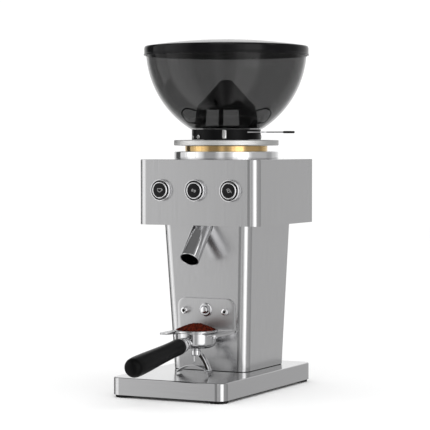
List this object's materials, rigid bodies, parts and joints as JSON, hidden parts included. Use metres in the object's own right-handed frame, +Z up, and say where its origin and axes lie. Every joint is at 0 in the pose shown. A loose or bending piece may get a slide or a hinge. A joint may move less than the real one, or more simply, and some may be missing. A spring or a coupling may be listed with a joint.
{
  "type": "burr coffee grinder",
  "caption": "Upright flat-burr coffee grinder with a smoked bean hopper, knurled grind ring, slanted chute, push buttons and a fork holding a portafilter.",
  "frame": {"origin": "centre of the overall footprint, portafilter handle included, at the level the feet stand on", "axes": "+X to the user's right, +Y towards the back, +Z up; the front with the buttons and fork faces -Y"},
  "size_m": [0.2668, 0.4518, 0.56],
  "materials": {
    "steel_panel": "fine vertical brushing",
    "base_steel": "fine brushed, slightly glossy top",
    "polished_steel": "polished",
    "screw_steel": "bright zinc",
    "knurled_aluminium": "bead blasted, knurled rim",
    "cast_aluminium": "as cast",
    "brass": "turned",
    "burr_steel": "ground tool steel",
    "motor_steel": "laminated steel",
    "motor_paint": "dark enamel",
    "copper_wire": "varnished copper",
    "black_rubber": "matte",
    "black_plastic": "fine satin",
    "black_paint": "satin powder coat",
    "gloss_black": "high gloss",
    "smoked_clear": "smoked transparent, polished",
    "guard_black": "satin gloss",
    "handle_black": "satin moulded",
    "board_green": "solder mask",
    "coffee": "loose ground coffee"
  },
  "bodies": {
    "grinder": {"base_shell": "base_steel", "base_plate": "black_paint", "base_feet": "black_rubber", "base_screws": "screw_steel", "column_gasket": "black_rubber", "column_shell": "steel_panel", "column_back_panel": "steel_panel", "back_panel_screws": "screw_steel", "head_shell": "steel_panel", "head_bottom_plate": "steel_panel", "grinding_chamber": "cast_aluminium", "lower_collar": "polished_steel", "motor_stator": "motor_steel", "motor_windings": "copper_wire", "motor_housing": "motor_paint", "lower_end_bell": "cast_aluminium", "upper_end_bell": "cast_aluminium", "shaft_bearings": "screw_steel", "motor_standoffs": "cast_aluminium", "control_board": "board_green", "run_capacitor": "gloss_black", "power_inlet": "black_plastic", "power_switch_frame": "black_plastic", "chute_elbow": "cast_aluminium", "chute_tube": "polished_steel", "button_bezels": "polished_steel", "button_barrels": "black_plastic", "button_nuts": "screw_steel", "fork_bracket": "steel_panel", "fork_screws": "screw_steel", "dosing_switch_bezel": "polished_steel", "dosing_switch_body": "black_plastic", "dosing_switch_spring": "screw_steel"},
    "burr_carrier": {"upper_burr_carrier": "brass", "upper_burr": "burr_steel", "upper_burr_screws": "screw_steel"},
    "adjusting_ring": {"adjusting_ring": "knurled_aluminium"},
    "rotor": {"motor_shaft": "screw_steel", "motor_rotor": "motor_steel", "cooling_fan": "black_plastic", "lower_burr_carrier": "cast_aluminium", "lower_burr": "burr_steel", "lower_burr_screws": "screw_steel"},
    "hopper": {"hopper_neck": "guard_black", "hopper_bowl": "smoked_clear", "deflector_cone": "guard_black"},
    "lid": {"hopper_lid": "gloss_black"},
    "shutter": {"shutter_plate": "polished_steel", "shutter_grip": "black_plastic"},
    "button_left": {"button_left": "polished_steel"},
    "button_centre": {"button_centre": "polished_steel"},
    "button_right": {"button_right": "polished_steel"},
    "dosing_plunger": {"dosing_switch_plunger": "polished_steel"},
    "power_rocker": {"power_switch_rocker": "gloss_black"},
    "portafilter": {"portafilter_body": "polished_steel", "portafilter_basket": "polished_steel", "ground_coffee": "coffee", "portafilter_spout": "polished_steel", "portafilter_ferrule": "polished_steel", "portafilter_handle": "handle_black"}
  },
  "joints": [
    {"name": "ring_turn", "type": "hinge", "parent": "burr_carrier", "child": "adjusting_ring", "pos_m": [0, 0.0925, 0.394], "axis": [0, 0, 1], "range_deg": [0, 270]},
    {"name": "burr_lift", "type": "slide", "parent": "grinder", "child": "burr_carrier", "axis": [0, 0, 1], "range_m": [0, 0.00112]},
    {"name": "rotor_spin", "type": "hinge", "parent": "grinder", "child": "rotor", "pos_m": [0, 0.0925, 0.15], "axis": [0, 0, 1], "continuous": true},
    {"name": "hopper_lift_off", "type": "slide", "parent": "burr_carrier", "child": "hopper", "axis": [0, 0, 1], "range_m": [0, 0.05]},
    {"name": "lid_lift_off", "type": "slide", "parent": "hopper", "child": "lid", "axis": [0, 0, 1], "range_m": [0, 0.06]},
    {"name": "shutter_slide", "type": "slide", "parent": "hopper", "child": "shutter", "axis": [1, 0, 0], "range_m": [-0.048, 0]},
    {"name": "button_left_press", "type": "slide", "parent": "grinder", "child": "button_left", "axis": [0, 1, 0], "range_m": [0, 0.002], "stiffness_N_per_m": 1200, "springref_m": -0.0006},
    {"name": "button_centre_press", "type": "slide", "parent": "grinder", "child": "button_centre", "axis": [0, 1, 0], "range_m": [0, 0.002], "stiffness_N_per_m": 1200, "springref_m": -0.0006},
    {"name": "button_right_press", "type": "slide", "parent": "grinder", "child": "button_right", "axis": [0, 1, 0], "range_m": [0, 0.002], "stiffness_N_per_m": 1200, "springref_m": -0.0006},
    {"name": "dosing_plunger_press", "type": "slide", "parent": "grinder", "child": "dosing_plunger", "axis": [0, 0.9982, 0.0602], "range_m": [0, 0.003], "stiffness_N_per_m": 900, "springref_m": -0.0006, "deforming": ["dosing_switch_spring"]},
    {"name": "power_rocker_tilt", "type": "hinge", "parent": "grinder", "child": "power_rocker", "pos_m": [-0.024, 0.16657, 0.066], "axis": [1, 0, 0], "range_deg": [0, 16]},
    {"name": "portafilter_pull", "type": "slide", "parent": "grinder", "child": "portafilter", "axis": [0, -1, 0], "range_m": [0, 0.09]}
  ],
  "couplings": [
    {"joint": "ring_turn", "follows": "burr_lift", "rad_per_m": 4188.8}
  ]
}
